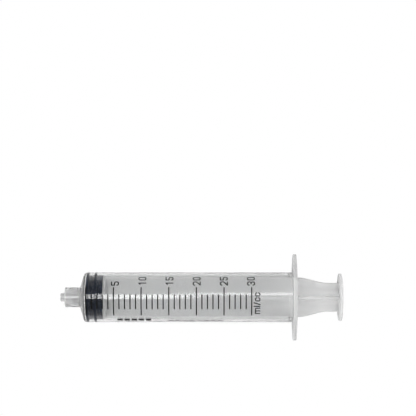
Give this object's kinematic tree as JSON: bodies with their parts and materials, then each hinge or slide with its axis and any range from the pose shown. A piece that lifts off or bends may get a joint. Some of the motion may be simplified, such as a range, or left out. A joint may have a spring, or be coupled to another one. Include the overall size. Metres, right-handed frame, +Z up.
{
  "type": "syringe",
  "caption": "Translucent plastic syringe with a Luer lock tip, finger flange, dark rubber stopper, ribbed plunger rod with round thumb press, and a printed scale.",
  "frame": {"origin": "middle of the whole length, on the surface that the lower flat of the flange rests on, 13 mm below the syringe's axis", "axes": "+X along the syringe's axis from the tip to the thumb press, +Z up through the printed scale, Y along the flange's ears"},
  "size_m": [0.1358, 0.0418, 0.026],
  "materials": {
    "clear_plastic": "translucent polypropylene, smooth",
    "stopper_rubber": "dark blue-grey moulded rubber",
    "rod_plastic": "milky translucent polypropylene",
    "print_ink": "black pad-printed ink"
  },
  "bodies": {
    "barrel": {"barrel": "clear_plastic", "scale_lines": "print_ink", "scale_numerals": "print_ink", "unit_mark": "print_ink", "side_marks": "print_ink"},
    "stopper": {"stopper": "stopper_rubber"},
    "plunger_rod": {"plunger_rod": "rod_plastic"}
  },
  "joints": [
    {"name": "plunger_slide", "type": "slide", "parent": "barrel", "child": "stopper", "axis": [1, 0, 0], "range_m": [0, 0.092]},
    {"name": "rod_turn", "type": "hinge", "parent": "stopper", "child": "plunger_rod", "pos_m": [-0.0507, 0, 0.013], "axis": [1, 0, 0], "continuous": true}
  ]
}
